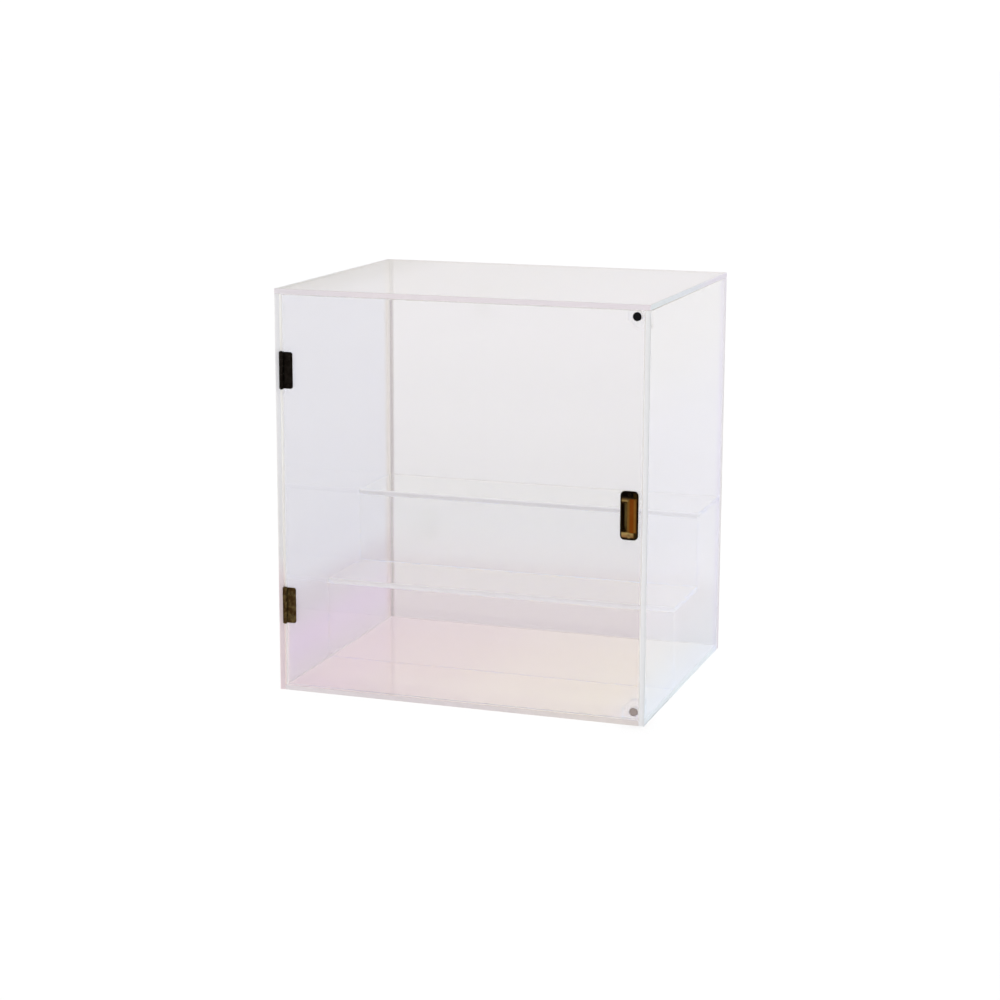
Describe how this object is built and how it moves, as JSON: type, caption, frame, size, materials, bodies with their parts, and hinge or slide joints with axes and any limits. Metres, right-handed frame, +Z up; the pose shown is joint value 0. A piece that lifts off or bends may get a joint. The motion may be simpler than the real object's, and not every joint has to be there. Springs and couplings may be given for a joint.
{
  "type": "acrylic display cube",
  "caption": "Clear acrylic display case with a stair of stepped shelves inside, a hinged front door, a recessed finger pull and magnetic corner catches.",
  "frame": {"origin": "centre of the rectangle that the case rests on, on the underside of the base sheet", "axes": "+Z up, -Y is the front where the door is, +X to the right of someone facing the door"},
  "size_m": [0.375, 0.2997, 0.4],
  "materials": {
    "clear_acrylic": "clear cast acrylic sheet, glossy faces, polished edges with a faint iridescent tint",
    "upper_brass": "dark antique brass, almost black, edges rubbed",
    "lower_brass": "olive antique brass, edges rubbed",
    "pull_brass": "antique brass with a dark recess and rubbed golden edges",
    "upper_magnet": "black nickel plate",
    "lower_magnet": "nickel plate"
  },
  "bodies": {
    "case": {"base_panel": "clear_acrylic", "top_panel": "clear_acrylic", "left_side_panel": "clear_acrylic", "right_side_panel": "clear_acrylic", "back_panel": "clear_acrylic", "lower_riser": "clear_acrylic", "lower_tread": "clear_acrylic", "upper_riser": "clear_acrylic", "upper_tread": "clear_acrylic", "upper_hinge_case_leaf": "upper_brass", "upper_hinge_case_screw_1": "upper_brass", "upper_hinge_case_screw_2": "upper_brass", "upper_hinge_pin": "upper_brass", "upper_catch_block": "clear_acrylic", "upper_catch_magnet": "upper_magnet", "lower_hinge_case_leaf": "lower_brass", "lower_hinge_case_screw_1": "lower_brass", "lower_hinge_case_screw_2": "lower_brass", "lower_hinge_pin": "lower_brass", "lower_catch_block": "clear_acrylic", "lower_catch_magnet": "lower_magnet"},
    "door": {"door_panel": "clear_acrylic", "finger_pull": "pull_brass", "upper_pull_screw": "pull_brass", "lower_pull_screw": "pull_brass", "upper_hinge_door_leaf": "upper_brass", "upper_hinge_door_screw_1": "upper_brass", "upper_hinge_door_screw_2": "upper_brass", "upper_door_magnet": "upper_magnet", "lower_hinge_door_leaf": "lower_brass", "lower_hinge_door_screw_1": "lower_brass", "lower_hinge_door_screw_2": "lower_brass", "lower_door_magnet": "lower_magnet"}
  },
  "joints": [
    {"name": "door_hinge", "type": "hinge", "parent": "case", "child": "door", "pos_m": [-0.18, -0.15, 0.2], "axis": [0, 0, -1], "range_deg": [0, 180]}
  ]
}
